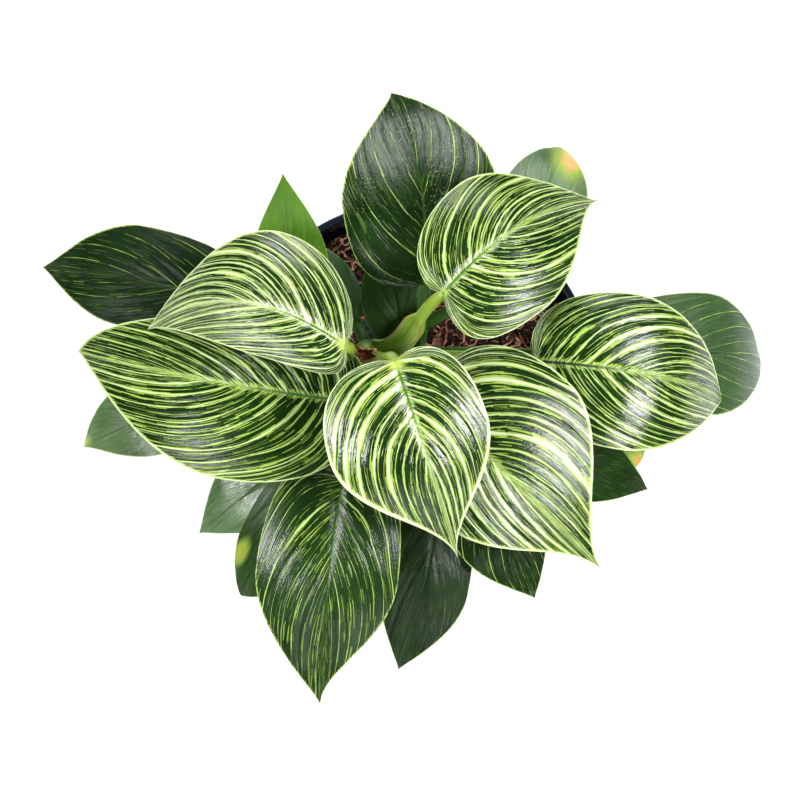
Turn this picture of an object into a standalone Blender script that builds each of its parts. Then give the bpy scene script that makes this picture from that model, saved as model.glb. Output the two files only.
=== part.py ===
"""Potted pinstriped philodendron, in metres, +Z up, origin under the middle of the pot's base.

The pieces are the nursery pot, the soil in it, the stem, two dry scales on the stem, and the leaves.
Each leaf is one solid: its blade, its stalk and the sheath at the foot of the stalk.
"""
import math
from typing import NamedTuple

import bmesh
import bpy
from mathutils import Vector

MM = 0.001
GAP = 0.3 * MM              # clearance between pieces that touch

# Pot
POT_HEIGHT = 125 * MM
RIM_RADIUS = 75 * MM        # outer edge of the lip
BASE_RADIUS = 54 * MM
POT_WALL = 1.4 * MM
LIP_WIDTH = 1.8 * MM        # how far the lip stands out from the band below it
LIP_DEPTH = 2.2 * MM
BAND_DEPTH = 17 * MM        # the straight band under the lip
BAND_STEP = 1.6 * MM
HEEL = 2.5 * MM             # bevel where the wall meets the base
DRAIN_COUNT = 8
DRAIN_RADIUS = 5 * MM
DRAIN_CIRCLE = 38 * MM
POT_SEGMENTS = 48

# Soil
SOIL_TOP = 110 * MM
SOIL_MOUND = 2.5 * MM       # how far the soil heaps up around the stem

# Stem
STEM_FOOT = Vector((-0.012, 0.000, 0.086))
STEM_TOP = Vector((-0.0185, 0.0035, 0.187))
STEM_FOOT_RADIUS = 8.5 * MM
STEM_TOP_RADIUS = 5.5 * MM
STEM_RINGS = 4
STEM_SIDES = 12

# Dry scale at the growing tip: heights above the stem's top, and radii
BUD_RINGS = [(0, 3.2 * MM), (3 * MM, 3.6 * MM), (6 * MM, 2.2 * MM), (8.5 * MM, 0.8 * MM)]
BUD_LEAN = Vector((0.25, -0.15, 1.0))

# Leaves
BLADE_THICKNESS = 0.8 * MM
VEINS = 8                   # rows of facets along one half of a blade
VEIN_STEPS = 3              # facets from the midrib to the edge
WIDEST_SHARE = 0.42         # share of the outline's parameter that ends at the widest place
FAN_SHARE = 0.28            # share of the outline whose veins all start at the stalk
VEIN_BEND = 0.13            # how far a vein bows towards the stalk
STALK_SIDES = 6
STALK_STEPS = 8
SLIVER = 0.12 * MM          # edges shorter than this, left by a Boolean, are closed up
RIB_REACH = 0.24            # how far the stalk runs on under the blade, as a share of its length


class Leaf(NamedTuple):
    """One leaf of the growth plan. Places and sizes are in millimetres, angles in degrees."""
    name: str
    base: tuple             # where the stalk meets the blade
    tip: tuple
    width: float
    node: float             # height at which the stalk leaves the stem
    roll: float = 0.0       # turn of the blade about the line from base to tip
    arch: float = 0.10      # rise of the midrib over that line, as a share of its length
    sweep: float = 0.0      # sideways bow of the midrib, as a share of its length
    fold: float = 0.12      # slope at which each half lifts from the midrib
    cup: float = 0.35       # how far the edges turn down again
    widest: float = 0.34    # where the blade is widest, as a share of its length
    lobe: float = 0.09      # how far the heart's lobes reach back past the stalk
    skew: float = 0.0       # how much wider the right half is, looking towards the tip
    blunt: float = 0.16     # how round the tip is
    stalk: float = 4.6      # width of the stalk
    sheath: float = 6.4     # width of the stalk's foot
    colour: tuple = (0.02, 0.09, 0.03)


YOUNG = (0.20, 0.36, 0.10)
DARK = (0.02, 0.08, 0.03)
BRIGHT = (0.12, 0.30, 0.04)
DRY = (0.20, 0.07, 0.03)

GROWTH_PLAN = [
    Leaf("leaf_front_top", (-11, -10, 236), (17, -82, 206), 59, 184, arch=0.10, sweep=-0.03,
         lobe=0.05, skew=0.06, colour=YOUNG),
    Leaf("leaf_front_right", (6, -18, 214), (72, -84, 192), 68, 174, arch=0.08, lobe=0.06,
         skew=-0.08, widest=0.32, colour=YOUNG),
    Leaf("leaf_back_right", (11, 18, 222), (71, 59, 190), 57, 180, arch=0.12, sweep=-0.07,
         lobe=0.06, skew=0.08, stalk=5.4, sheath=8.5, colour=YOUNG),
    Leaf("leaf_right", (50, -5, 205), (118, -13, 160), 58, 168, arch=0.26, lobe=0.08,
         blunt=0.4, colour=YOUNG),
    Leaf("leaf_left_upper", (-27, 1, 224), (-102, 9, 192), 53, 179, arch=0.12, sweep=0.16,
         lobe=0.05, skew=-0.05, widest=0.36, colour=YOUNG),
    Leaf("leaf_left", (-29, -22, 206), (-131, 4, 172), 61, 172, arch=0.10, sweep=-0.03,
         skew=-0.14, widest=0.33, colour=YOUNG),
    Leaf("leaf_far_left", (-74, 26, 166), (-149, 42, 148), 43, 146, widest=0.5),
    Leaf("leaf_pointed", (-46, 17, 176), (-50, 68, 202), 29, 162, widest=0.4, colour=BRIGHT),
    Leaf("leaf_back", (4, 25, 200), (-9, 104, 182), 61, 170, sweep=0.06, lobe=0.03,
         skew=0.05, widest=0.42),
    Leaf("leaf_back_old", (25, 45, 172), (66, 85, 156), 33, 156, widest=0.5, blunt=0.7),
    Leaf("leaf_far_right", (78, 5, 160), (140, 7, 128), 48, 160, arch=0.24, widest=0.5,
         blunt=0.8),
    Leaf("leaf_right_low", (44, -33, 176), (93, -48, 150), 34, 151),
    Leaf("leaf_right_small", (58, -13, 158), (94, -34, 140), 24, 142),
    Leaf("leaf_front_low_right", (26, -49, 186), (47, -92, 166), 36, 159),
    Leaf("leaf_front_low", (9, -54, 174), (-6, -119, 150), 34, 147, sweep=-0.04, widest=0.48),
    Leaf("leaf_front_left", (-27, -49, 196), (-36, -132, 165), 55, 163, sweep=0.03, lobe=0.10,
         widest=0.40),
    Leaf("leaf_front_left_under", (-41, -42, 178), (-57, -96, 150), 35, 155, widest=0.5, blunt=0.5),
    Leaf("leaf_left_front", (-44, -36, 164), (-85, -65, 146), 34, 147),
    Leaf("leaf_left_under", (-84, -13, 162), (-132, -30, 140), 34, 152),
    Leaf("leaf_inner_back", (-6, 10, 150), (-14, 54, 162), 25, 138, widest=0.45, lobe=0.02),
    Leaf("leaf_inner_left", (-23, 20, 152), (-43, 52, 160), 17, 144, widest=0.45, lobe=0.02),
    Leaf("leaf_inner_small", (-8, 15, 138), (-27, 21, 132), 10, 124, stalk=2.6, sheath=3.4,
         lobe=0.02),
    Leaf("dried_sheath", (5, 8, 160), (15, 12, 175), 6, 148, stalk=2.4, sheath=4, lobe=0,
         widest=0.4, colour=DRY),
]


def clear_scene():
    for old in list(bpy.data.objects):
        bpy.data.objects.remove(old)


def material(name, colour, roughness, metallic=0.0):
    """A Principled material with one colour."""
    mat = bpy.data.materials.new(name)
    mat.use_nodes = True
    shader = mat.node_tree.nodes["Principled BSDF"]
    shader.inputs["Base Color"].default_value = (*colour, 1)
    shader.inputs["Roughness"].default_value = roughness
    shader.inputs["Metallic"].default_value = metallic
    return mat


def add_object(name, bm, mat=None, smooth_angle=40):
    """Turn a bmesh into a named object with outward faces and smooth shading."""
    bmesh.ops.recalc_face_normals(bm, faces=bm.faces)
    mesh = bpy.data.meshes.new(name)
    bm.to_mesh(mesh)
    bm.free()
    mesh.shade_smooth()
    mesh.set_sharp_from_angle(angle=math.radians(smooth_angle))
    piece = bpy.data.objects.new(name, mesh)
    bpy.context.scene.collection.objects.link(piece)
    if mat:
        mesh.materials.append(mat)
    return piece


def modified(piece, kind, **settings):
    """Run one modifier on the piece and keep its result as the piece's mesh."""
    modifier = piece.modifiers.new(kind.title(), kind)
    for key, value in settings.items():
        setattr(modifier, key, value)
    graph = bpy.context.evaluated_depsgraph_get()
    mesh = bpy.data.meshes.new_from_object(piece.evaluated_get(graph))
    piece.modifiers.remove(modifier)
    piece.data = mesh
    return piece


def combined(piece, other, operation, solver="EXACT"):
    """Boolean the other object into the piece, and remove the other object."""
    modified(piece, "BOOLEAN", object=other, operation=operation, solver=solver)
    bpy.data.objects.remove(other)
    return piece


def turned(profile, segments):
    """Spin a closed outline of (radius, height) points about the Z axis."""
    bm = bmesh.new()
    verts = [bm.verts.new((r, 0, z)) for r, z in profile]
    edges = [bm.edges.new((a, b)) for a, b in zip(verts, verts[1:])]
    if profile[0][0] > 0:
        edges.append(bm.edges.new((verts[-1], verts[0])))
    bmesh.ops.spin(bm, geom=verts + edges, cent=(0, 0, 0), axis=(0, 0, 1),
                   angle=2 * math.pi, steps=segments)
    bmesh.ops.remove_doubles(bm, verts=bm.verts, dist=0.02 * MM)
    return bm


def tube(rings):
    """A closed tube through rings of points, with a flat cap at each end."""
    bm = bmesh.new()
    loops = [[bm.verts.new(point) for point in ring] for ring in rings]
    for low, high in zip(loops, loops[1:]):
        for i, vert in enumerate(low):
            following = (i + 1) % len(low)
            bm.faces.new((vert, low[following], high[following], high[i]))
    bm.faces.new(reversed(loops[0]))
    bm.faces.new(loops[-1])
    return bm


def bezier(points, t):
    """The point at t on a Bezier curve with any number of control points."""
    while len(points) > 1:
        points = [a.lerp(b, t) for a, b in zip(points, points[1:])]
    return points[0]


# Pot and soil

def wall_radius(z):
    """Outer radius of the tapered wall below the band."""
    shoulder = RIM_RADIUS - LIP_WIDTH - BAND_STEP
    return BASE_RADIUS + (shoulder - BASE_RADIUS) * z / (POT_HEIGHT - BAND_DEPTH)


def pot_profile():
    """The pot's section, from the middle of its underside round to the middle of its floor."""
    shoulder = POT_HEIGHT - BAND_DEPTH
    band = RIM_RADIUS - LIP_WIDTH
    inner_band = band - POT_WALL
    lip_base = POT_HEIGHT - LIP_DEPTH
    return [
        (0, 0), (BASE_RADIUS - HEEL, 0), (wall_radius(HEEL), HEEL),
        (wall_radius(shoulder), shoulder), (band - 0.4 * MM, shoulder + 1.4 * MM),
        (band, lip_base), (RIM_RADIUS - 0.4 * MM, lip_base), (RIM_RADIUS, lip_base + 0.5 * MM),
        (RIM_RADIUS, POT_HEIGHT - 0.7 * MM), (RIM_RADIUS - 0.6 * MM, POT_HEIGHT),
        (inner_band + 0.5 * MM, POT_HEIGHT), (inner_band, POT_HEIGHT - 0.5 * MM),
        (inner_band - 0.4 * MM, shoulder + 1.4 * MM), (wall_radius(shoulder) - POT_WALL, shoulder),
        (wall_radius(HEEL) - POT_WALL, HEEL), (BASE_RADIUS - HEEL - POT_WALL, POT_WALL),
        (0, POT_WALL),
    ]


def make_pot():
    pot = add_object("pot", turned(pot_profile(), POT_SEGMENTS),
                     material("pot_plastic", (0.008, 0.013, 0.022), 0.38))
    for number in range(DRAIN_COUNT):
        turn = 2 * math.pi * number / DRAIN_COUNT
        bm = bmesh.new()
        bmesh.ops.create_cone(bm, cap_ends=True, segments=12, depth=8 * MM,
                              radius1=DRAIN_RADIUS, radius2=DRAIN_RADIUS)
        centre = Vector((math.cos(turn), math.sin(turn), 0)) * DRAIN_CIRCLE
        bmesh.ops.translate(bm, verts=bm.verts, vec=centre)
        combined(pot, add_object("drain_cutter", bm), "DIFFERENCE")
    return pot


def soil_height(r):
    """Height of the soil at a distance from the pot's axis: it heaps up a little in the middle."""
    return SOIL_TOP + SOIL_MOUND * math.exp(-(r / (30 * MM)) ** 2)


def make_soil():
    """The soil fills the pot up to its headspace, and has a hole that the stem stands in."""
    floor = POT_WALL + GAP
    rim = wall_radius(SOIL_TOP) - POT_WALL - GAP
    foot = BASE_RADIUS - HEEL - POT_WALL - GAP
    heel = wall_radius(HEEL) - POT_WALL - 2 * GAP
    top = [(rim * share, soil_height(rim * share)) for share in (0.8, 0.6, 0.45, 0.3, 0.15)]
    profile = [(0, floor), (foot, floor), (heel, HEEL + GAP), (rim, SOIL_TOP - 1 * MM)]
    profile += [(rim - 1 * MM, SOIL_TOP)] + top + [(0, soil_height(0))]
    soil = add_object("soil", turned(profile, POT_SEGMENTS),
                      material("soil_mix", (0.035, 0.018, 0.012), 0.95))
    return combined(soil, make_stem_body("stem_cutter", GAP), "DIFFERENCE")


# Stem

def stem_at(z):
    """Centre and radius of the stem at a height."""
    share = (z - STEM_FOOT.z) / (STEM_TOP.z - STEM_FOOT.z)
    return STEM_FOOT.lerp(STEM_TOP, share), STEM_FOOT_RADIUS + share * (
        STEM_TOP_RADIUS - STEM_FOOT_RADIUS)


def make_stem_body(name, grow=0.0):
    """The stem as a tapered tube, or, grown by a clearance, as the cutter of its hole."""
    rings = []
    for ring in range(STEM_RINGS + 1):
        share = ring / STEM_RINGS
        z = STEM_FOOT.z + share * (STEM_TOP.z - STEM_FOOT.z)
        centre, radius = stem_at(z)
        radius = radius + grow
        if ring == 0:
            centre = centre - Vector((0, 0, grow))
        if ring == STEM_RINGS:
            radius = radius * 0.7
        rings.append([centre + Vector((math.cos(a), math.sin(a), 0)) * radius
                      for a in (2 * math.pi * i / STEM_SIDES for i in range(STEM_SIDES))])
    return add_object(name, tube(rings), material("stem_green", (0.10, 0.16, 0.03), 0.6))


# Leaves

def blade_frame(leaf):
    """Origin, across, along and upward directions of a blade, and its length."""
    base = Vector(leaf.base) * MM
    reach = Vector(leaf.tip) * MM - base
    along = reach.normalized()
    level = along.cross(Vector((0, 0, 1))).normalized()
    up = level.cross(along)
    turn = math.radians(leaf.roll)
    across = level * math.cos(turn) + up * math.sin(turn)
    return base, across, along, across.cross(along), reach.length


def outline(leaf, length, s, side):
    """Half of the blade's edge, from the stalk (s = 0) round the lobe to the tip (s = 1)."""
    half = leaf.width * MM / 2 * (1 + side * leaf.skew)
    wide = leaf.widest * length
    back = -1.35 * leaf.lobe * length
    if s < WIDEST_SHARE:
        points = [(0, 0), (0.25 * half, back), (half, back), (half, wide)]
        return bezier([Vector(p) for p in points], s / WIDEST_SHARE)
    rest = length - wide
    points = [(half, wide), (half, wide + 0.42 * rest),
              (leaf.blunt * half, length - 0.2 * (1 - leaf.blunt) * rest), (0, length)]
    return bezier([Vector(p) for p in points], (s - WIDEST_SHARE) / (1 - WIDEST_SHARE))


def vein_point(leaf, length, s, t, side):
    """The point at t on the vein that ends at s on the edge, in the flat blade."""
    start = Vector((0, length * max(0, (s - FAN_SHARE) / (1 - FAN_SHARE)) ** 1.25))
    end = outline(leaf, length, s, side)
    middle = (start + end) / 2 - Vector((0, VEIN_BEND * (end - start).length))
    return bezier([start, middle, end], t)


def shaped(leaf, length, flat, side):
    """Lift a flat point of the blade to its arched, folded and cupped place in the blade's frame."""
    half = leaf.width * MM / 2
    p = flat.y / length
    bow = 4 * p * (1 - p)
    out = flat.x / half
    lift = leaf.arch * length * bow + half * (leaf.fold * out - leaf.cup * 0.5 * out ** 2)
    return Vector((side * flat.x + leaf.sweep * length * bow, flat.y, lift))


def blade_point(leaf, s, t, side):
    base, across, along, up, length = blade_frame(leaf)
    place = shaped(leaf, length, vein_point(leaf, length, s, t, side), side)
    return base + across * place.x + along * place.y + up * place.z


def add_sheet(bm, leaf, side, face):
    """Half of the blade's upper (face = 1) or lower (face = -1) skin, which thins out to the edge."""
    lift = blade_frame(leaf)[3] * face * BLADE_THICKNESS / 2
    rows = []
    for i in range(VEINS + 1):
        row = [blade_point(leaf, i / VEINS, j / VEIN_STEPS, side) for j in range(VEIN_STEPS + 1)]
        row = [point + lift for point in row[:-1]] + row[-1:]
        rows.append([bm.verts.new(point) for point in row])
    for low, high in zip(rows, rows[1:]):
        for j in range(VEIN_STEPS):
            corners = (low[j], low[j + 1], high[j + 1], high[j])
            bm.faces.new(corners if side == face else corners[::-1])


def make_blade(leaf):
    """The blade as one closed shell: two skins that meet at the edge, as on a real leaf."""
    bm = bmesh.new()
    for face in (1, -1):
        for side in (1, -1):
            add_sheet(bm, leaf, side, face)
    bmesh.ops.remove_doubles(bm, verts=bm.verts, dist=0.02 * MM)
    return add_object(leaf.name, bm, material(leaf.name + "_green", leaf.colour, 0.35))


def stalk_path(leaf):
    """Points along the stalk, from the stem's surface to its end under the blade."""
    base, across, along, up, length = blade_frame(leaf)
    centre, radius = stem_at(leaf.node * MM)
    away = base - centre
    away.z = 0
    away.normalize()
    start = centre + away * (radius - 0.5 * MM)
    span = (base - start).length
    lead = Vector((0, 0, 1)) * 0.32 * span + away * 0.25 * span
    arrive = (along * 0.35 + Vector((0, 0, 0.65))).normalized()
    points = [start, start + lead, base - arrive * 0.35 * span, base - up * 0.6 * MM]
    path = [bezier(points, i / STALK_STEPS) for i in range(STALK_STEPS + 1)]
    ribs = [blade_point(leaf, FAN_SHARE + (1 - FAN_SHARE) * reach ** 0.8, 0, 1) - up * 0.9 * MM
            for reach in (RIB_REACH / 2, RIB_REACH)]
    return path + ribs


def make_stalk(leaf):
    """The stalk, an oval tube that tapers from its sheath to its end under the blade."""
    path = stalk_path(leaf)
    across = blade_frame(leaf)[1]
    rings = []
    for i, point in enumerate(path):
        ahead = path[min(i + 1, len(path) - 1)] - path[max(i - 1, 0)]
        ahead.normalize()
        side = (across - ahead * across.dot(ahead)).normalized()
        rise = side.cross(ahead)
        share = min(1, i / STALK_STEPS)
        width = (leaf.sheath + (leaf.stalk - leaf.sheath) * min(1, share * 1.6)) * MM / 2
        depth = width * 0.72
        if i > STALK_STEPS:
            width, depth = (1.4 * MM, 1.0 * MM) if i == STALK_STEPS + 1 else (0.8 * MM, 0.6 * MM)
        rings.append([point + side * width * math.cos(a) + rise * depth * math.sin(a)
                      for a in (2 * math.pi * k / STALK_SIDES for k in range(STALK_SIDES))])
    return add_object(leaf.name + "_stalk", tube(rings))


def without_slivers(piece):
    """Close up the tiny edges that a Boolean leaves where two surfaces nearly meet."""
    bm = bmesh.new()
    bm.from_mesh(piece.data)
    bmesh.ops.dissolve_degenerate(bm, edges=bm.edges, dist=SLIVER)
    bmesh.ops.triangulate(bm, faces=bm.faces)
    bm.to_mesh(piece.data)
    bm.free()
    return piece


def make_leaf(leaf):
    """One solid of blade and stalk, whose foot is cut to clasp the stem."""
    piece = combined(make_blade(leaf), make_stalk(leaf), "UNION", "MANIFOLD")
    piece = combined(piece, make_stem_body("stem_cutter", GAP), "DIFFERENCE", "MANIFOLD")
    return without_slivers(piece)


def make_bud_scale():
    """The dry brown scale that is left at the growing tip, a small leaning cone on the stem's top."""
    rings = []
    for height, radius in BUD_RINGS:
        centre = STEM_TOP + BUD_LEAN * height + Vector((0, 0, GAP))
        rings.append([centre + Vector((math.cos(a), 0.7 * math.sin(a), 0)) * radius
                      for a in (2 * math.pi * k / STALK_SIDES for k in range(STALK_SIDES))])
    return add_object("bud_scale", tube(rings), material("dry_scale", DRY, 0.7))


def main():
    clear_scene()
    make_pot()
    make_soil()
    make_stem_body("stem")
    make_bud_scale()
    for leaf in GROWTH_PLAN:
        make_leaf(leaf)


main()
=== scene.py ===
# %% [markdown]
# # A potted pinstriped philodendron
#
# The leaves give this plant its looks, so they are built first, and the stem, its dry scales, the pot and
# the soil follow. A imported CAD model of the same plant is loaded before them, and every fine piece made here
# takes the place of one plain CAD piece. All lengths are in metres unless a comment says millimetres, +Z is
# up, and the origin lies under the middle of the pot.

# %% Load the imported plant
import math
from typing import NamedTuple

import bmesh
import bpy
from mathutils import Matrix, Vector
from mathutils import noise as field


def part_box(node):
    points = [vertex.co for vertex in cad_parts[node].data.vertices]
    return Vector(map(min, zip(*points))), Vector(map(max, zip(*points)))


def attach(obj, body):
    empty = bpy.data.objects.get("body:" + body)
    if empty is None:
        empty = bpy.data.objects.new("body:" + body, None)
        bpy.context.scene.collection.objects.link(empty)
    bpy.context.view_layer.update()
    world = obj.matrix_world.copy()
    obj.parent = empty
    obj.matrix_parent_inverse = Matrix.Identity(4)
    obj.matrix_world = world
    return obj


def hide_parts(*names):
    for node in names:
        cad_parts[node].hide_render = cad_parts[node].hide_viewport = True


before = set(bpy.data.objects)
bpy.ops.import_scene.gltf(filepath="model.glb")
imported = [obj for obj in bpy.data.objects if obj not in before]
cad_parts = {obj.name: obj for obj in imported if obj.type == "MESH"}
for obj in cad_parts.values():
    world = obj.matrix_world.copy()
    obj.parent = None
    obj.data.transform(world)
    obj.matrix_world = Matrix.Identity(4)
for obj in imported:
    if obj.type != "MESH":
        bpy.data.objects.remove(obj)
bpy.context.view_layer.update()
MM = 0.001

# %% [markdown]
# ## Sums in a node tree
#
# The leaves are drawn by formulas, and so are their stripes. Formulas could be clicked together as hundreds
# of Math nodes, which nobody can read afterwards. So a small class stands for one number in a node tree:
# adding or multiplying two of them lays down the Math node. The same class serves Geometry Nodes and
# shaders, because both use the same Math node.

# %% A number in a node tree
def feed(slot, value):
    """Give a node's input another node's result, or a fixed value."""
    if isinstance(value, Sum):
        value = value.socket
    if isinstance(value, bpy.types.NodeSocket):
        slot.id_data.links.new(value, slot)
    else:
        slot.default_value = value


def add(tree, kind, inputs=None, **settings):
    """A new node of this kind with its settings and inputs filled in."""
    node = tree.nodes.new(kind)
    for key, value in settings.items():
        setattr(node, key, value)
    for key, value in (inputs or {}).items():
        feed(node.inputs[key], value)
    return node


class Sum:
    """One number in a node tree. Sums of these lay down Math nodes."""

    def __init__(self, socket):
        self.socket = socket
        self.tree = socket.id_data

    def math(self, operation, *others):
        node = add(self.tree, "ShaderNodeMath", operation=operation)
        for slot, value in zip(node.inputs, (self, *others)):
            feed(slot, value)
        return Sum(node.outputs[0])

    def __add__(self, other):
        return self.math("ADD", other)

    def __sub__(self, other):
        return self.math("SUBTRACT", other)

    def __mul__(self, other):
        return self.math("MULTIPLY", other)

    def __truediv__(self, other):
        return self.math("DIVIDE", other)

    def __pow__(self, other):
        return self.math("POWER", other)

    def __rsub__(self, other):
        return self * -1 + other

    __radd__ = __add__
    __rmul__ = __mul__

    def step(self, low, high):
        """0 below low, 1 above high, with a soft ramp between."""
        node = add(self.tree, "ShaderNodeMapRange", {"Value": self, "From Min": low, "From Max": high},
                   interpolation_type="SMOOTHSTEP")
        return Sum(node.outputs[0])

    def peak(self, other):
        return self.math("MAXIMUM", other)


def vector(tree, x, y, z=0.0):
    return add(tree, "ShaderNodeCombineXYZ", {"X": x, "Y": y, "Z": z}).outputs[0]


def parts(tree, socket):
    """The three numbers in a vector."""
    node = add(tree, "ShaderNodeSeparateXYZ", {"Vector": socket})
    return [Sum(output) for output in node.outputs]


def noise(tree, place, scale=1.0, detail=2.0):
    node = add(tree, "ShaderNodeTexNoise", {"Vector": place, "Scale": scale, "Detail": detail})
    return Sum(node.outputs[0])


print("node sums ready")

# %% [markdown]
# ## Camera, floor and light
#
# House plants are often shown from above on white. A long lens high over the pot keeps the leaves in their
# true proportions. One sun lamp would leave hard shadows and pinpoint highlights, so the light comes from
# four square soft panels: two strong ones to the right and left, and two wide ones behind and in front. The
# waxy leaves then catch broad soft highlights with dark green between them.

# %% Camera
camera = bpy.data.objects.new("camera", bpy.data.cameras.new("camera"))
camera.data.lens = 110
camera.data.sensor_width = 36
camera.location = (-0.0053, -0.1477, 1.1141)
camera.rotation_euler = (math.radians(8), 0, 0)     # nearly straight down, from a little in front
bpy.context.scene.collection.objects.link(camera)
bpy.context.scene.camera = camera
print("camera", round(camera.location.length, 2), "m from the pot's foot")

# %% Colours as they are, and a dim white room
bpy.context.scene.view_settings.view_transform = "Standard"
world = bpy.data.worlds.new("studio")
world.use_nodes = True
room = world.node_tree.nodes["Background"]
room.inputs["Color"].default_value = (0.92, 0.97, 1.0, 1)
room.inputs["Strength"].default_value = 0.07
bpy.context.scene.world = world


# %% Soft panels
LEAVES_MIDDLE = Vector((0, 0, 0.18))


def panel(name, place, size, power):
    """A square soft light that faces the plant."""
    light = bpy.data.lights.new(name, "AREA")
    light.size = size
    light.energy = power
    lamp = bpy.data.objects.new(name, light)
    lamp.location = place
    aim = LEAVES_MIDDLE - Vector(place)
    lamp.rotation_euler = aim.to_track_quat("-Z", "Y").to_euler()
    bpy.context.scene.collection.objects.link(lamp)
    print(name, "at", place, power, "W")


panel("panel_right", (0.78, -0.12, 1.2), 0.5, 19)
panel("panel_left", (-0.85, -0.30, 1.2), 0.45, 15)
panel("panel_back", (-0.1, 1.3, 1.0), 0.8, 14)
panel("panel_front", (0.1, -1.3, 1.0), 0.8, 4)


# %% Floor
def new_object(name, mesh, *materials):
    piece = bpy.data.objects.new(name, mesh)
    bpy.context.scene.collection.objects.link(piece)
    for finish in materials:
        mesh.materials.append(finish)
    return piece


def from_bmesh(name, bm, *materials):
    mesh = bpy.data.meshes.new(name)
    bm.to_mesh(mesh)
    bm.free()
    return new_object(name, mesh, *materials)


def new_material(name, roughness=0.5, colour=(0.8, 0.8, 0.8)):
    """A material, its node tree and its Principled shader."""
    made = bpy.data.materials.new(name)
    made.use_nodes = True
    shader = made.node_tree.nodes["Principled BSDF"]
    shader.inputs["Roughness"].default_value = roughness
    shader.inputs["Specular IOR Level"].default_value = 0.4
    shader.inputs["Base Color"].default_value = (*colour, 1)
    return made, made.node_tree, shader


floor_paint, _, glow = new_material("floor_paint", 0.9, (0.93, 0.93, 0.93))
glow.inputs["Emission Color"].default_value = (1, 1, 1, 1)
glow.inputs["Emission Strength"].default_value = 0.12
bm = bmesh.new()
bmesh.ops.create_grid(bm, x_segments=1, y_segments=1, size=4)
floor = from_bmesh("floor", bm, floor_paint)
print("floor", round(floor.dimensions.x, 1), "m wide")

# %% [markdown]
# ## Finish: a pinstriped leaf
#
# On a young leaf of this plant, cream and lime stripes run along the side veins, from the midrib out
# towards the tip, some broad, some hair-thin, all with torn edges. Older leaves keep only a few thin lines.
# The stripes could be painted, but a rule follows them better: each leaf carries a map whose first number
# counts the veins along the leaf and whose second number goes from the midrib to the edge. A line of equal
# vein number is a vein, so a stripe is a band of vein numbers. Each band gets a random width, and a stretched
# noise tears its edges. One function makes all the leaf finishes, from cream-striped to plain dark. It also
# lays on what single leaves have: a lime heel where the stalk joins, dust, a faded or dried patch, more wax.

# %% What a leaf's finish is told
class Look(NamedTuple):
    """How one leaf is coloured."""
    lines: float = 6        # main stripes in a leaf's length
    cream: float = 0.05     # roughly the share of the leaf that they cover
    fine: float = 0.0       # how strong the thin lines between them are
    margin: float = 0.25    # how strong the pale edge is
    seed: float = 1.0
    dark: tuple = (0.003, 0.013, 0.0015)
    light: tuple = (0.010, 0.037, 0.004)
    patch: tuple = ()       # (across, along, radius, colour) of a faded or dried patch
    rib: tuple = (0.03, 0.09, 0.012)
    gloss: float = 0.17     # roughness
    wax: float = 0.5        # how strongly it mirrors the lights
    specks: float = 0.0     # pale specks and scratches
    heel: float = 0.0       # size of the lime spot where the stalk joins, as a share of the length


VEIN_LEAN, VEIN_SWEEP = 0.05, 0.14      # how far a side vein runs towards the tip on its way to the edge


def blend(tree, share, low, high):
    """Mix two colours, each a fixed (r, g, b) or another node's colour."""
    node = add(tree, "ShaderNodeMix", data_type="RGBA")
    feed(node.inputs[0], share)
    for slot, colour in ((node.inputs[6], low), (node.inputs[7], high)):
        feed(slot, (*colour, 1) if isinstance(colour, tuple) else colour)
    return node.outputs[2]


def vein_number(along, away):
    """Equal along one side vein, from the midrib (away = 0) to the edge (away = 1)."""
    return along - (away * VEIN_LEAN + away ** 3 * VEIN_SWEEP) * (1 - along.peak(0) ** 6)


def leaf_map(tree):
    """Vein number, distance from the midrib, and which half of the leaf this is."""
    along, wide, _ = parts(tree, add(tree, "ShaderNodeUVMap", uv_map="UVMap").outputs[0])
    offset = wide * 2 - 1
    away = offset.math("ABSOLUTE")
    return vein_number(along, away), away, offset.math("SIGN")


def dice(tree, x, y, z):
    """A random number from 0 to 1 for each whole (x, y, z)."""
    node = add(tree, "ShaderNodeTexWhiteNoise", {"Vector": vector(tree, x, y, z)}, noise_dimensions="3D")
    return Sum(node.outputs[0])


# %% The stripes
def bands(tree, vein, away, half, count, cream, seed):
    """Stripes along the veins, each with its own width: about 1 in a stripe's heart, below 0 off it."""
    sway = noise(tree, vector(tree, vein * 9 + half * 3, away * 1.5, seed), 1.0, 1.0) - 0.5
    place = (vein + sway * 0.05) * count
    number = place.math("FLOOR")
    chance = dice(tree, number, half, seed)
    swell = noise(tree, vector(tree, number * 3.7 + seed, away * 4.0, half), 1.0, 2.0) - 0.5
    reach = (chance ** 2 * 1.1 + 0.4) * cream * (swell * 2.6 + 1)
    middle = (place - number - 0.5).math("ABSOLUTE") * 2
    return (reach - middle) / (reach.peak(0.02) * 1.3 + 0.05) + 0.5


def stripes(tree, look):
    """How dense the pale streaks are, a random number for each, the vein number, and how far out it is."""
    vein, away, half = leaf_map(tree)
    density = bands(tree, vein, away, half, look.lines, look.cream, look.seed)
    if not look.cream:
        density = density - 2
    if look.fine:
        thin = bands(tree, vein, away, half, look.lines * 2.3, 0.22, look.seed + 9)
        hair = bands(tree, vein, away, half, look.lines * 5.1, 0.26, look.seed + 19)
        density = density.peak(thin.math("MINIMUM", 1) * look.fine)
        density = density.peak(hair.math("MINIMUM", 1) * look.fine * 0.34)
    density = density.peak(away.step(0.984 - 0.05 * look.margin, 0.992) * (0.5 + look.margin))
    cell = (vein * 270 + half * 40).math("FLOOR")
    row = (away * 9 + dice(tree, cell, half, look.seed) * 15).math("FLOOR")
    streak = dice(tree, cell, row, look.seed)
    return density, streak, vein, away


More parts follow.
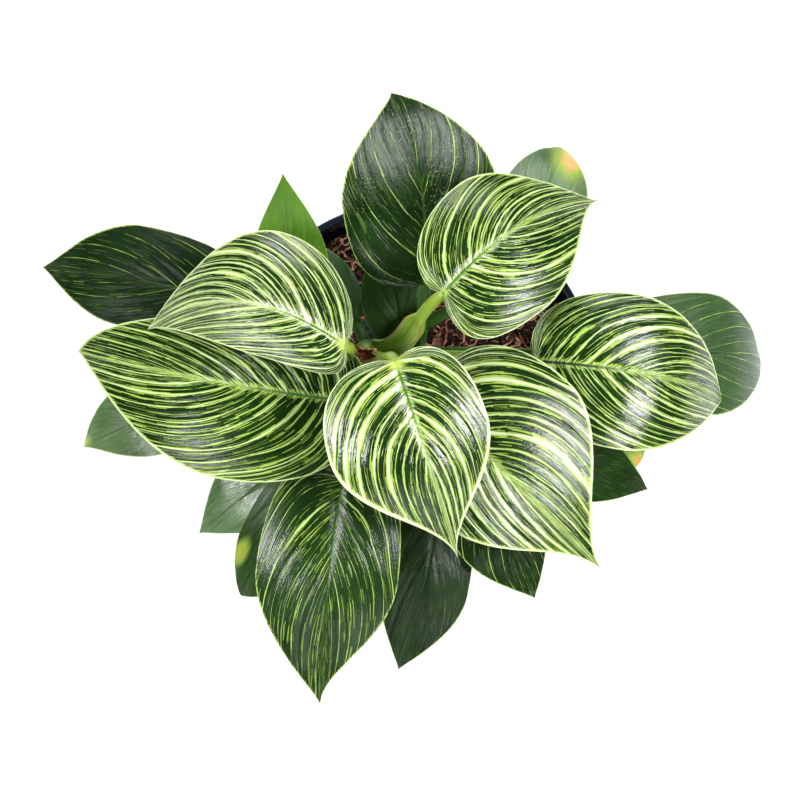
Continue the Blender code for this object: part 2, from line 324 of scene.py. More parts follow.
# %% The leaf's finish
LIME = (0.30, 0.46, 0.06)
CREAM = (0.66, 0.75, 0.44)
YOUNG_GREEN = (0.010, 0.046, 0.002)
HEEL_LIME = (0.38, 0.50, 0.06)
FADED = (0.30, 0.44, 0.06)
DUST = (0.30, 0.36, 0.27)


def blemishes(tree, look, colour, across, along, spot, cloud, fibre):
    """What only some leaves have: the lime heel, dust specks, and a faded or dried patch."""
    if look.heel:
        heel = ((across * 0.35) ** 2 + along ** 2) ** 0.5 + (fibre - 0.5) * 0.06
        colour = blend(tree, 1 - heel.step(look.heel * 0.2, look.heel), colour, HEEL_LIME)
    if look.specks:
        dots = add(tree, "ShaderNodeTexVoronoi", {"Vector": spot, "Scale": 800})
        hit = (noise(tree, spot, 45, 2) * 0.9 - Sum(dots.outputs[0])).step(0.28, 0.44) * look.specks
        colour = blend(tree, hit, colour, DUST)
    if look.patch:
        x, y, radius, patch = look.patch
        gap = ((across - x) ** 2 * 0.5 + (along - y) ** 2) ** 0.5 + (cloud - 0.5) * radius
        colour = blend(tree, 1 - gap.step(radius * 0.9, radius * 2.2), colour, FADED)
        colour = blend(tree, 1 - gap.step(radius * 0.5, radius * 1.2), colour, patch)
    return colour


def leaf_finish(name, look):
    """The upper side of a leaf."""
    young = look.fine > 0.5
    finish, tree, shader = new_material(name, look.gloss)
    shader.inputs["Specular IOR Level"].default_value = look.wax
    density, streak, vein, away = stripes(tree, look)
    spot = add(tree, "ShaderNodeTexCoord").outputs["Object"]
    flat = add(tree, "ShaderNodeAttribute", attribute_name="flat").outputs["Vector"]
    across, along, _ = parts(tree, flat)
    cloud = noise(tree, spot, 60, 3)
    fibre = noise(tree, vector(tree, vein * 150, away * 5, look.seed), 1, 2)
    width = (1 - along).peak(0) ** 0.8 * 0.035 + 0.006
    beside = across.math("ABSOLUTE") / width
    if young:
        density = density.peak((1 - beside.step(0.4, 2.4)) * (fibre * 1.6 + 0.2) * look.fine)
    shows = (density.math("MINIMUM", 1) * 1.1 - streak).step(-0.10, 0.16)
    green = blend(tree, (cloud * 0.6 + fibre * 0.6).step(0.35, 0.85), look.dark, look.light)
    green = blend(tree, density.step(-0.1, 0.6) * 0.8, green, YOUNG_GREEN if look.fine else look.light)
    pale = blend(tree, density.step(0.55, 1.25), LIME, CREAM)
    colour = blend(tree, shows, green, pale)
    rib = 1 - (beside + (fibre - 0.5) * 1.8).step(0.2, 0.9)
    rib = rib * (1 - along.step(0.15, 0.45) * (1.0 if young else 0.3))
    colour = blend(tree, rib, colour, look.rib)
    colour = blemishes(tree, look, colour, across, along, spot, cloud, fibre)
    feed(shader.inputs["Base Color"], colour)
    feed(shader.inputs["Roughness"], look.gloss + (cloud - 0.5) * 0.22 + shows * 0.06)
    quilt = (vein * 13 + cloud * 0.5).math("FRACT") - 0.5
    height = fibre * 0.7 + noise(tree, spot, 1100, 2) * 0.4 + shows * 0.3
    height = height - quilt ** 2 * (4 if young else 1.5)
    bump = add(tree, "ShaderNodeBump", {"Height": height, "Strength": 0.5, "Distance": 0.0004})
    feed(shader.inputs["Normal"], bump.outputs[0])
    return finish


def underside_finish():
    """The under side: paler, matt, and crossed by the same veins."""
    finish, tree, shader = new_material("leaf_underside", 0.55)
    vein, away, half = leaf_map(tree)
    line = (vein * 9).math("FRACT").math("PINGPONG", 0.5)
    fibre = noise(tree, vector(tree, vein * 120, away * 5, half), 1, 2)
    colour = blend(tree, fibre.step(0.3, 0.8), (0.055, 0.13, 0.035), (0.10, 0.20, 0.06))
    colour = blend(tree, (1 - line.step(0.02, 0.08)) * 0.5, colour, (0.22, 0.34, 0.12))
    feed(shader.inputs["Base Color"], colour)
    bump = add(tree, "ShaderNodeBump", {"Height": fibre, "Strength": 0.4, "Distance": 0.0003})
    feed(shader.inputs["Normal"], bump.outputs[0])
    return finish


underside = underside_finish()
print("leaf finishes ready")

# %% [markdown]
# ## The leaf blade
#
# Every blade of this plant follows one rule: a heart, widest near the stalk, arched along its length and
# folded a little along the midrib, with side veins that sweep from the midrib to the tip. Only its numbers
# differ from leaf to leaf. It could be modelled once and stretched, but then the veins would stretch too.
# So one Geometry Nodes tree takes a flat grid, whose rows are veins, and moves its points by the rule.

# %% The blade's rule: its outline
FAN = 0.28                  # share of the veins that start together at the stalk
WIDEST = 0.42               # share of the veins that end before the widest place
LAST_VEIN = 0.62            # how far along the midrib the last side vein leaves it


def curve4(q, a, b, c, d):
    """A cubic Bezier through one coordinate of four points."""
    p = 1 - q
    return p ** 3 * a + p ** 2 * q * 3 * b + p * q ** 2 * 3 * c + q ** 3 * d


def outline(vein, half, length, wide, lobe, blunt):
    """Where a vein meets the edge: round the lobe first, and from the widest place on to the tip."""
    q = (vein / WIDEST).math("MINIMUM", 1)
    back = length * lobe * -1.35
    x1 = curve4(q, 0, half * 0.25, half, half)
    y1 = curve4(q, 0, back, back, wide)
    q = ((vein - WIDEST) / (1 - WIDEST)).peak(0)
    rest = length - wide
    drip = (0.1 - blunt).peak(0) * 1.2 + (1 - blunt) * 0.2      # draws a sharp tip out
    x2 = curve4(q, half, half, half * blunt, 0)
    y2 = curve4(q, wide, wide + rest * 0.42, length - rest * drip, length)
    past = vein.math("GREATER_THAN", WIDEST)
    return x1 + (x2 - x1) * past, y1 + (y2 - y1) * past


# %% The blade's rule: veins, arch and fold
BLADE_NUMBERS = ("Length", "Width", "Widest", "Lobe", "Skew", "Blunt", "Uneven", "Lean", "Arch", "Sweep",
                 "Fold", "Cup", "Thickness", "Relief", "Ruffle", "Ripples", "Seed")


def geometry_tree(name, numbers, finishes, takes_mesh=False):
    """A Geometry Nodes tree with named inputs; returns it with its inputs and its result."""
    tree = bpy.data.node_groups.new(name, "GeometryNodeTree")
    sockets = [("Surface", "Geometry")] * takes_mesh
    sockets += [(number, "Float") for number in numbers] + [(finish, "Material") for finish in finishes]
    for title, kind in sockets:
        tree.interface.new_socket(title, in_out="INPUT", socket_type="NodeSocket" + kind)
    tree.interface.new_socket("Piece", in_out="OUTPUT", socket_type="NodeSocketGeometry")
    return tree, tree.nodes.new("NodeGroupInput").outputs, tree.nodes.new("NodeGroupOutput").inputs[0]


def store(tree, mesh, name, value, kind, domain):
    """Write a named value on the mesh, for its finish to read."""
    node = add(tree, "GeometryNodeStoreNamedAttribute", {"Geometry": mesh, "Name": name, "Value": value},
               data_type=kind, domain=domain)
    return node.outputs[0]


def blade_tree():
    """The whole rule: a grid whose rows are veins becomes the upper and the under skin of a leaf."""
    tree, given, result = geometry_tree("leaf blade", BLADE_NUMBERS, ("Upper finish", "Under finish"))
    (length, width, widest, lobe, skew, blunt, uneven, lean, arch, sweep, fold, cup, thick, relief, ruffle,
     ripples, seed) = [Sum(given[number]) for number in BLADE_NUMBERS]
    grid = add(tree, "GeometryNodeMeshGrid",
               {"Size X": 1.0, "Size Y": 2.0, "Vertices X": 97, "Vertices Y": 53})
    place = add(tree, "GeometryNodeInputPosition").outputs[0]
    vein, offset, _ = parts(tree, place)
    vein = vein + 0.5
    side = offset.math("SIGN")
    away = offset.math("ABSOLUTE")
    half = width / 2 * (side * skew + 1)
    end_x, end_y = outline(vein, half, length, length * widest, lobe, blunt + side * uneven)
    start_y = length * LAST_VEIN * ((vein - FAN) / (1 - FAN)).peak(0) ** 1.15
    chord = (end_x ** 2 + (end_y - start_y) ** 2) ** 0.5
    bend_x = end_x * (0.64 - vein * 0.12)
    bend_y = start_y + (end_y - start_y) * (vein * 0.25 + lean) - chord * 0.02
    x = away * (1 - away) * 2 * bend_x + away ** 2 * end_x
    y = (1 - away) ** 2 * start_y + away * (1 - away) * 2 * bend_y + away ** 2 * end_y
    share = y / length
    bow = share * (1 - share) * 4
    out = x / (width / 2)
    height = length * arch * bow + width / 2 * (fold * out - cup * 0.5 * out ** 2)
    ends = vein.step(0.0, 0.08) * (1 - vein.step(0.9, 1.0))
    line = (vein_number(vein, away) * ripples * math.tau).math("COSINE") * 0.5 + 0.5
    height = height - relief * (line ** 5 * away.step(0.02, 0.2) + (1 - away.step(0.0, 0.09)) * 2.2) * ends
    wave = noise(tree, vector(tree, vein * 5 + seed, side * 3 + seed, away * 0.7), 1.0, 1.0) - 0.5
    height = height + ruffle * wave * away ** 2 * ends * 2
    skin = thick / 2 * (1 - away ** 6) * vein.step(0.0, 0.03) * (1 - vein.step(0.95, 1.0))
    map_place = vector(tree, vein, offset / 2 + 0.5)
    mesh = store(tree, grid.outputs["Mesh"], "UVMap", map_place, "FLOAT2", "CORNER")
    flat = vector(tree, side * out, share)
    skins = []
    for face, finish in ((1, "Upper finish"), (-1, "Under finish")):
        spot = vector(tree, side * x + length * sweep * bow, y, height + skin * face)
        sheet = store(tree, mesh, "flat", flat, "FLOAT_VECTOR", "POINT")
        sheet = add(tree, "GeometryNodeSetPosition", {"Geometry": sheet, "Position": spot}).outputs[0]
        if face > 0:
            sheet = add(tree, "GeometryNodeFlipFaces", {"Mesh": sheet}).outputs[0]
        skins.append(add(tree, "GeometryNodeSetMaterial", {"Geometry": sheet, "Material": given[finish]}))
    both = add(tree, "GeometryNodeJoinGeometry")
    for skin in skins:
        feed(both.inputs[0], skin.outputs[0])
    whole = add(tree, "GeometryNodeMergeByDistance", {"Geometry": both.outputs[0], "Distance": 0.00001})
    feed(result, add(tree, "GeometryNodeRealizeInstances", {"Geometry": whole.outputs[0]}).outputs[0])
    return tree


# %% Run a tree once and keep its mesh
def grown(name, tree, settings, surface=None):
    """The mesh that a tree makes with these settings, on nothing or on a surface's mesh."""
    mesh = surface.data.copy() if surface else bpy.data.meshes.new(name)
    seedling = new_object(name + "_seedling", mesh)
    modifier = seedling.modifiers.new("Grow", "NODES")
    modifier.node_group = tree
    for item in tree.interface.items_tree:
        if item.in_out == "INPUT" and item.name in settings:
            modifier[item.identifier] = settings[item.name]
    graph = bpy.context.evaluated_depsgraph_get()
    made = bpy.data.meshes.new_from_object(seedling.evaluated_get(graph))
    bpy.data.objects.remove(seedling)
    made.name = name
    made.shade_smooth()
    made.set_sharp_from_angle(angle=math.radians(50))
    return made


BLADE = blade_tree()
print("blade tree with", len(BLADE.nodes), "nodes")

# %% [markdown]
# ## The growth plan
#
# Each leaf has a place where its stalk meets the blade, a tip, a width, and the height at which the stalk
# leaves the stem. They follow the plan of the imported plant, and most fine leaves lie within 4 mm of their
# plain ones, the right leaf within 7 mm. Three differ more: the back leaf's stalk leaves the stem 18 mm
# lower, the old back leaf's base lies 19 mm away, and the tip under the front left leaf 12 mm. The look
# follows the leaf's age: cream stripes on the young leaves at the top, thin lines or none on the old ones
# near the pot. The numbers could be drawn at random, but then this plant would be another one, so they are
# written down, and all that leaves share is a default.

# %% What a leaf is told
class Leaf(NamedTuple):
    """One leaf of the growth plan. Places and sizes are in millimetres."""
    name: str
    base: tuple             # where the stalk meets the blade
    tip: tuple
    width: float
    node: float             # height at which the stalk leaves the stem
    look: Look
    arch: float = 0.10      # rise of the midrib over the line from base to tip, as a share of its length
    sweep: float = 0.0      # sideways bow of the midrib, as a share of its length
    widest: float = 0.34    # where the blade is widest, as a share of its length
    lobe: float = 0.09      # how far the heart's lobes reach back past the stalk
    skew: float = 0.0       # how much wider the right half is, looking towards the tip
    blunt: float = 0.16     # how round the tip is
    uneven: float = 0.0     # how much blunter one side of the tip is
    lean: float = 0.4       # how slanted the side veins leave the midrib
    ruffle: float = 1.5     # height of the waves along the edge
    stalk: float = 4.6      # width of the stalk
    sheath: float = 6.4     # width of the stalk's foot
    winged: float = 0.3     # where the sheath's wings end, as a share of the stalk
    bow: tuple = (0, 0, 0)  # how far the stalk swings aside on its way


# %% The looks by age
YOUNG = Look(lines=13, cream=0.27, fine=0.75, margin=0.5, rib=(0.06, 0.16, 0.02), gloss=0.14, wax=0.65)
OLD = Look(lines=6, cream=0.045, margin=0.25)
PLAIN = Look(lines=5, cream=0.0, margin=0.15, gloss=0.3)
BRIGHT = PLAIN._replace(margin=0.1, dark=(0.04, 0.12, 0.006), light=(0.09, 0.21, 0.012),
                        rib=(0.12, 0.30, 0.04), gloss=0.4, wax=0.12)

# %% The young striped leaves
YOUNG_LEAVES = [
    Leaf("leaf_front_top", (-7, -10, 236), (17, -82, 206), 60, 184,
         YOUNG._replace(cream=0.34, margin=1.0, seed=3, heel=0.06, wax=0.9),
         lobe=0.045, skew=0.14, lean=0.18, blunt=-0.05),
    Leaf("leaf_front_right", (3, -19.5, 214), (72, -84, 192), 71, 174,
         YOUNG._replace(cream=0.33, seed=7, wax=0.45),
         arch=0.08, lobe=0.04, skew=-0.17, widest=0.38, lean=0.18, blunt=-0.02),
    Leaf("leaf_back_right", (11, 18, 222), (72, 60, 190), 57, 180,
         YOUNG._replace(cream=0.22, seed=11, heel=0.02),
         arch=0.12, sweep=-0.07, lobe=0.06, skew=0.08, lean=0.18, blunt=0.02,
         stalk=4.8, sheath=9, winged=0.68, bow=(2, -12, -6)),
    Leaf("leaf_right", (46.3, -4.2, 199), (122, -13.5, 156), 60, 168,
         YOUNG._replace(cream=0.20, seed=5, rib=(0.012, 0.045, 0.006), wax=0.65),
         arch=0.26, lobe=0.04, lean=0.18, blunt=0.12),
    Leaf("leaf_left_upper", (-25.5, -2.5, 224), (-102, 9, 192), 48, 179,
         YOUNG._replace(cream=0.33, seed=23, fine=0.9, wax=0.9, heel=0.06),
         arch=0.12, sweep=0.14, lobe=0.03, skew=0.22, widest=0.36, lean=0.18),
    Leaf("leaf_left", (-29, -20, 206), (-131, 4, 172), 61, 172,
         YOUNG._replace(cream=0.165, seed=17, wax=0.25),
         sweep=-0.03, skew=-0.17, widest=0.33, lean=0.18, blunt=0.36, uneven=0.2),
]

# %% The older leaves with thin lines
OLD_LEAVES = [
    Leaf("leaf_far_left", (-74, 26, 166), (-149, 42, 148), 41, 146,
         OLD._replace(seed=31, cream=0.012, dark=(0.003, 0.011, 0.002), light=(0.008, 0.027, 0.006),
                      gloss=0.22, wax=0.12),
         widest=0.5, skew=0.08),
    Leaf("leaf_back", (4, 25, 200), (-9, 105, 182), 60, 152,
         OLD._replace(cream=0.05, specks=0.45, seed=37, wax=0.5),
         sweep=0.06, lobe=0.005, skew=-0.03, widest=0.42, blunt=0.22, uneven=0.12,
         stalk=3.6, bow=(16, -15, -9)),
    Leaf("leaf_far_right", (78, 4, 160), (142, 6, 128), 49, 160,
         OLD._replace(lines=7, cream=0.045, seed=41, dark=(0.025, 0.055, 0.020), light=(0.06, 0.12, 0.045),
                      wax=0.2),
         arch=0.24, widest=0.5, blunt=0.42),
    Leaf("leaf_front_low_right", (26, -49, 186), (47, -92, 166), 36, 159,
         OLD._replace(lines=8, cream=0.03, seed=47, wax=0.35),
         skew=0.1),
    Leaf("leaf_front_left", (-27, -49, 196), (-36, -133, 165), 54, 163,
         OLD._replace(lines=12, cream=0.07, fine=0.32, seed=59, dark=(0.005, 0.020, 0.003),
                      light=(0.016, 0.048, 0.009), wax=0.45),
         sweep=0.015, lobe=0.10, widest=0.40, skew=0.03, blunt=0.06, uneven=0.06),
]

# %% The plain leaves, some with a dry or faded patch
PLAIN_LEAVES = [
    Leaf("leaf_pointed", (-46, 17, 176), (-50, 68, 202), 29, 162, BRIGHT, widest=0.4),
    Leaf("leaf_back_old", (44, 41, 172), (59, 89, 158), 34, 156,
         PLAIN._replace(patch=(0.35, 0.98, 0.20, (0.74, 0.46, 0.16)), dark=(0.02, 0.06, 0.015),
                        light=(0.12, 0.22, 0.08), rib=(0.09, 0.18, 0.06), margin=0.3, wax=0.9),
         widest=0.5, blunt=0.5),
    Leaf("leaf_right_low", (44, -33, 176), (93, -48, 150), 31, 151,
         PLAIN._replace(seed=43, dark=(0.003, 0.018, 0.0005), light=(0.009, 0.042, 0.001),
                        gloss=0.45, wax=0.15)),
    Leaf("leaf_right_small", (58, -13, 158), (91, -36, 140), 26, 142,
         PLAIN._replace(patch=(0, 1.0, 0.14, (0.68, 0.34, 0.06)), dark=(0.04, 0.12, 0.015)),
         blunt=0.9),
    Leaf("leaf_front_low", (9, -54, 174), (-6, -119, 150), 34, 147,
         PLAIN._replace(seed=53),
         sweep=-0.04, widest=0.48),
    Leaf("leaf_front_left_under", (-41, -42, 178), (-68, -90, 150), 35, 155,
         PLAIN._replace(patch=(0.42, 0.70, 0.07, (0.42, 0.48, 0.06)), seed=61,
                        dark=(0.010, 0.035, 0.004), light=(0.03, 0.085, 0.012), wax=0.3),
         widest=0.5, blunt=0.35, skew=-0.35),
    Leaf("leaf_left_front", (-44, -36, 164), (-85, -65, 146), 34, 147,
         PLAIN._replace(seed=67, dark=(0.02, 0.07, 0.010), light=(0.15, 0.26, 0.10),
                        rib=(0.08, 0.17, 0.05), gloss=0.25, wax=1.0)),
    Leaf("leaf_left_under", (-84, -13, 162), (-132, -30, 140), 34, 152,
         PLAIN._replace(patch=(0.1, 1.02, 0.07, (0.62, 0.45, 0.08)), seed=71, margin=0.3,
                        dark=(0.02, 0.065, 0.010), light=(0.12, 0.23, 0.06), rib=(0.07, 0.15, 0.03), wax=0.8),
         skew=0.08, blunt=0.25, uneven=0.15),
    # Painted light: this leaf lies in shade under the upper leaves, so its colours are made lighter to stand
    # in for the light it lacks.
    Leaf("leaf_inner_back", (-4, 10, 150), (-11, 54, 162), 28, 138,
         PLAIN._replace(seed=73, dark=(0.022, 0.080, 0.010), light=(0.045, 0.14, 0.020), gloss=0.4),
         widest=0.45, lobe=0.02),
    # Painted light and painted sheen: this leaf lies in shade under the upper leaves, so its colours are made
    # lighter and greyer to stand in for light and gloss.
    Leaf("leaf_inner_left", (-23, 20, 152), (-43, 52, 160), 17, 144,
         PLAIN._replace(seed=79, margin=0.4, dark=(0.06, 0.13, 0.045), light=(0.14, 0.24, 0.10), gloss=0.35),
         widest=0.45, lobe=0.02),
    Leaf("leaf_inner_small", (-8, 15, 138), (-27, 21, 132), 10, 124,
         PLAIN._replace(cream=0.02, seed=83),
         lobe=0.02, ruffle=0.4, stalk=2.6, sheath=3.4),
]
LEAVES = YOUNG_LEAVES + OLD_LEAVES + PLAIN_LEAVES
longest = max((Vector(leaf.tip) - Vector(leaf.base)).length for leaf in LEAVES)
print(len(LEAVES), "leaves, the longest", round(longest), "mm")


# %% Grow the blades
FOLD, CUP = 0.12, 0.35      # slope at which each half lifts from the midrib, and how far the edges turn down
BLADE_THICKNESS = 0.6 * MM
VEIN_DEPTH = 0.22 * MM
MOST_RIPPLES = 9            # veins pressed into each blade, at most


def blade_place(leaf):
    """The matrix that takes the flat blade, stalk at the origin and tip along +Y, to its place."""
    base = Vector(leaf.base) * MM
    along = (Vector(leaf.tip) * MM - base).normalized()
    level = along.cross(Vector((0, 0, 1))).normalized()
    place = Matrix((level, along, level.cross(along))).transposed().to_4x4()
    place.translation = base
    return place


def blade_length(leaf):
    return (Vector(leaf.tip) - Vector(leaf.base)).length * MM


def blade(leaf):
    mesh = grown(leaf.name, BLADE, {
        "Length": blade_length(leaf), "Width": leaf.width * MM, "Widest": leaf.widest, "Lobe": leaf.lobe,
        "Skew": leaf.skew, "Blunt": leaf.blunt, "Uneven": leaf.uneven, "Lean": leaf.lean, "Arch": leaf.arch,
        "Sweep": leaf.sweep, "Fold": FOLD, "Cup": CUP, "Thickness": BLADE_THICKNESS, "Relief": VEIN_DEPTH,
        "Ruffle": leaf.ruffle * MM, "Ripples": float(min(MOST_RIPPLES, leaf.look.lines)),
        "Seed": leaf.look.seed, "Upper finish": leaf_finish(leaf.name + "_upper", leaf.look),
        "Under finish": underside,
    })
    mesh.transform(blade_place(leaf))
    return new_object(leaf.name + "_grown", mesh)


# %% [markdown]
# ## Stalks
#
# A stalk clasps the stem with a flat sheath, whose two thin wings stand up along its upper side, and then
# rounds off towards the blade and runs on as the rib under it. A bevelled curve would give a plain tube.
# Here each ring of the stalk is drawn by its own small rule, so the channel and the wings can grow along the
# way and end in a tear. Where a wing is thin it dries, so its place is kept on the mesh for the finish.

# %% The stem's line
STEM_FOOT, STEM_TOP = Vector((-0.012, 0.0, 0.086)), Vector((-0.0185, 0.0035, 0.187))
STEM_FOOT_RADIUS, STEM_TOP_RADIUS = 8.5 * MM, 5.5 * MM


def stem_at(z):
    """Centre and radius of the stem at a height. Its growing tip narrows to a blunt point."""
    share = (z - STEM_FOOT.z) / (STEM_TOP.z - STEM_FOOT.z)
    radius = STEM_FOOT_RADIUS + share * (STEM_TOP_RADIUS - STEM_FOOT_RADIUS)
    return STEM_FOOT.lerp(STEM_TOP, share), radius * min(1, 0.35 + (1 - share) * 4)


def bezier(points, t):
    while len(points) > 1:
        points = [a.lerp(b, t) for a, b in zip(points, points[1:])]
    return points[0]


# %% A stalk's rings
STALK_STEPS, RIB_STEPS, STALK_SIDES = 44, 14, 32
RIB_END = 0.8               # how far along the blade the rib under it ends
WING_GROWN = 0.25           # share of the stalk by which its wings have their full height
SUNK = 0.5 * MM             # how deep a stalk's foot sits in the stem's skin


def rib_radius(step):
    return (1.6 - 1.3 * step / RIB_STEPS) * MM


def stalk_line(leaf):
    """Points from the stem's side to the blade, and on along the blade's midrib."""
    place = blade_place(leaf)
    base, along, lift = place.translation, place.col[1].to_3d(), place.col[2].to_3d()
    centre, radius = stem_at(leaf.node * MM)
    outward = base - centre
    outward.z = 0
    outward.normalize()
    start = centre + outward * (radius - SUNK)
    span = (base - start).length
    arrive = ((base - start).normalized() * 0.8 + along * 0.2).normalized()
    bow = Vector(leaf.bow) * MM
    guides = [start, start + Vector((0, 0, 0.32 * span)) + outward * 0.25 * span + bow,
              base - arrive * 0.35 * span, base - lift * 1.5 * MM]
    line = [bezier(guides, i / STALK_STEPS) for i in range(STALK_STEPS + 1)]
    length = blade_length(leaf)
    for i in range(1, RIB_STEPS + 1):
        p = RIB_END * i / RIB_STEPS
        rise = 4 * p * (1 - p)
        under = rib_radius(i) * 0.6 + 0.7 * MM
        point = Vector((leaf.sweep * length * rise, p * length, leaf.arch * length * rise - under))
        line.append(place @ point)
    return line


def stalk_section(leaf, step):
    """Half width, half depth, channel and wing height of the ring at a step, in metres."""
    share = min(1, step / STALK_STEPS)
    if step > STALK_STEPS:
        width = rib_radius(step - STALK_STEPS)
        return width, width * 0.6, 0, 0
    past = min(1, max(0, (share - leaf.winged + 0.08) / 0.12))
    open_sheath = 1 - past * past * (3 - 2 * past)
    torn = 1 - min(1, max(0, (share - leaf.winged + 0.02) / 0.03))
    neck = min(1, max(0, (share - 0.8) / 0.2)) ** 2
    begun = min(1, share / WING_GROWN)
    width = (leaf.stalk + (leaf.sheath - leaf.stalk) * open_sheath) * MM / 2
    width += (rib_radius(0) * 1.3 - width) * neck
    width *= 0.7 + 0.3 * begun
    depth = width * (0.72 - 0.2 * open_sheath - 0.3 * neck)
    channel = width * (0.10 + 0.42 * open_sheath)
    wing = leaf.sheath * 0.17 * MM * begun * torn
    return width, depth, channel, wing


WING_TURNS = (0.65, math.pi - 0.65)     # where the two wings stand on a ring, in radians
FULL_WING = 0.3 * MM                    # a wing this high counts as one in the finish


def stalk(leaf, finish):
    """The stalk's mesh, with its length and girth in a UV map and its wings in an attribute."""
    line = stalk_line(leaf)
    across = blade_place(leaf).col[0].to_3d()
    bm = bmesh.new()
    uv = bm.loops.layers.uv.new("UVMap")
    wings = bm.verts.layers.float.new("wing")
    rings = []
    for step, point in enumerate(line):
        ahead = (line[min(step + 1, len(line) - 1)] - line[max(step - 1, 0)]).normalized()
        side = (across - ahead * across.dot(ahead)).normalized()
        rise = side.cross(ahead)
        width, depth, channel, wing = stalk_section(leaf, step)
        ring = []
        for k in range(STALK_SIDES):
            a = math.tau * k / STALK_SIDES
            top = math.exp(-((math.sin(a / 2 - math.pi / 4)) / 0.32) ** 2)
            edge = sum(math.exp(-((math.sin((a - m) / 2)) / 0.10) ** 2) for m in WING_TURNS)
            at = side * math.cos(a) * (width + wing * edge * 0.6)
            at += rise * (math.sin(a) * depth - channel * top + wing * edge)
            vert = bm.verts.new(point + at)
            vert[wings] = edge * min(1, wing / FULL_WING)
            ring.append(vert)
        rings.append(ring)
    for step, (low, high) in enumerate(zip(rings, rings[1:])):
        for k in range(STALK_SIDES):
            n = (k + 1) % STALK_SIDES
            face = bm.faces.new((low[k], low[n], high[n], high[k]))
            for loop, (u, v) in zip(face.loops, ((step, k), (step, k + 1), (step + 1, k + 1), (step + 1, k))):
                loop[uv].uv = (u / len(line), v / STALK_SIDES)
    bm.faces.new(reversed(rings[0]))
    bm.faces.new(rings[-1])
    bmesh.ops.recalc_face_normals(bm, faces=bm.faces)
    for face in bm.faces:
        face.smooth = True
    return from_bmesh(leaf.name + "_stalk", bm, finish)


# %% The stalks' finish
DRY_RED, DRY_TAN = (0.26, 0.08, 0.03), (0.36, 0.20, 0.07)


def stalk_finish(name, low, high):
    """Fleshy and half gloss, streaked along its length, with dry edges on its wings."""
    finish, tree, shader = new_material(name, 0.38)
    along, around, _ = parts(tree, add(tree, "ShaderNodeUVMap", uv_map="UVMap").outputs[0])
    streak = noise(tree, vector(tree, along * 3, around * 22), 1.0, 3)
    colour = blend(tree, (along * 0.5 + streak * 1.6 - 0.5).step(0.1, 0.8), low, high)
    spot = add(tree, "ShaderNodeTexCoord").outputs["Object"]
    mottle = noise(tree, spot, 700, 2)
    wing = Sum(add(tree, "ShaderNodeAttribute", attribute_name="wing").outputs["Fac"])
    edge = (wing + (mottle - 0.5) * 0.5).step(0.55, 0.95)
    dry = blend(tree, noise(tree, spot, 160, 2).step(0.4, 0.6), DRY_RED, DRY_TAN)
    feed(shader.inputs["Base Color"], blend(tree, edge, colour, dry))
    feed(shader.inputs["Roughness"], streak * 0.2 + 0.28)
    bump = add(tree, "ShaderNodeBump", {"Height": streak + mottle * 0.4, "Strength": 0.4, "Distance": 0.0002})
    feed(shader.inputs["Normal"], bump.outputs[0])
    return finish


YOUNG_STALK = stalk_finish("young_stalk", (0.13, 0.25, 0.015), (0.27, 0.40, 0.035))
OLD_STALK = stalk_finish("old_stalk", (0.03, 0.09, 0.012), (0.06, 0.16, 0.02))


# %% Join each blade to its stalk
def joined(name, *pieces):
    """One object of several, with its origin at the world's."""
    bpy.ops.object.select_all(action="DESELECT")
    for piece in pieces:
        piece.select_set(True)
    bpy.context.view_layer.objects.active = pieces[0]
    bpy.ops.object.join()
    pieces[0].name = name
    pieces[0].select_set(False)
    return pieces[0]


def stand_for(piece, node):
    """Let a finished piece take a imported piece's place, and say how well their boxes agree."""
    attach(piece, "root")
    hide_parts(node)
    low, high = (Vector(corner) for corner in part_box(node))
    points = [vertex.co for vertex in piece.data.vertices]
    gaps = [abs(min(p[i] for p in points) - low[i]) for i in range(3)]
    gaps += [abs(max(p[i] for p in points) - high[i]) for i in range(3)]
    print(piece.name, len(points), "points, box within", round(max(gaps) / MM, 1), "mm")


for leaf in LEAVES:
    young = leaf in YOUNG_LEAVES
    whole = joined(leaf.name + "_whole", blade(leaf), stalk(leaf, YOUNG_STALK if young else OLD_STALK))
    slot = "striped_leaf" if young else "bright_leaf" if leaf.look == BRIGHT else "dark_leaf"
    stand_for(whole, leaf.name)

# %% [markdown]
# ## Stem, bud scale and dried sheath
#
# Most of the stem hides under the stalks. Each leaf that has ever grown left a ring on it, a little swollen
# above the scar. At its top the last bud's scale has dried to a brown cup with a torn lip, and lower down an
# old sheath has curled up like paper. A bent cylinder would do for the stem, but not for the scars and the
# lip, so the stem and the cup are lofted rings, and the sheath is a curled sheet.

# %% Loft rings into a skin
def loft(name, rings, finish):
    """A skin through rings of points, capped at both ends."""
    bm = bmesh.new()
    loops = [[bm.verts.new(point) for point in ring] for ring in rings]
    for low, high in zip(loops, loops[1:]):
        for k in range(len(low)):
            n = (k + 1) % len(low)
            bm.faces.new((low[k], low[n], high[n], high[k])).smooth = True
    bm.faces.new(reversed(loops[0]))
    bm.faces.new(loops[-1])
    bmesh.ops.recalc_face_normals(bm, faces=bm.faces)
    return from_bmesh(name, bm, finish)


def ring_of(centre, radius, sides):
    turns = [math.tau * k / sides for k in range(sides)]
    return [centre + Vector((math.cos(a), math.sin(a), 0)) * radius for a in turns]


# %% Stem
def bark_finish():
    finish, tree, shader = new_material("stem_skin", 0.5)
    spot = add(tree, "ShaderNodeTexCoord").outputs["Object"]
    x, y, z = parts(tree, spot)
    streak = noise(tree, vector(tree, x * 260, y * 260, z * 40), 1.0, 3)
    cork = (noise(tree, spot, 130, 3) + (0.15 - z) * 6).step(0.45, 0.8)
    green = blend(tree, streak.step(0.3, 0.7), (0.06, 0.12, 0.015), (0.14, 0.24, 0.03))
    feed(shader.inputs["Base Color"], blend(tree, cork, green, (0.13, 0.08, 0.035)))
    bump = add(tree, "ShaderNodeBump", {"Height": streak, "Strength": 0.5, "Distance": 0.0005})
    feed(shader.inputs["Normal"], bump.outputs[0])
    return finish


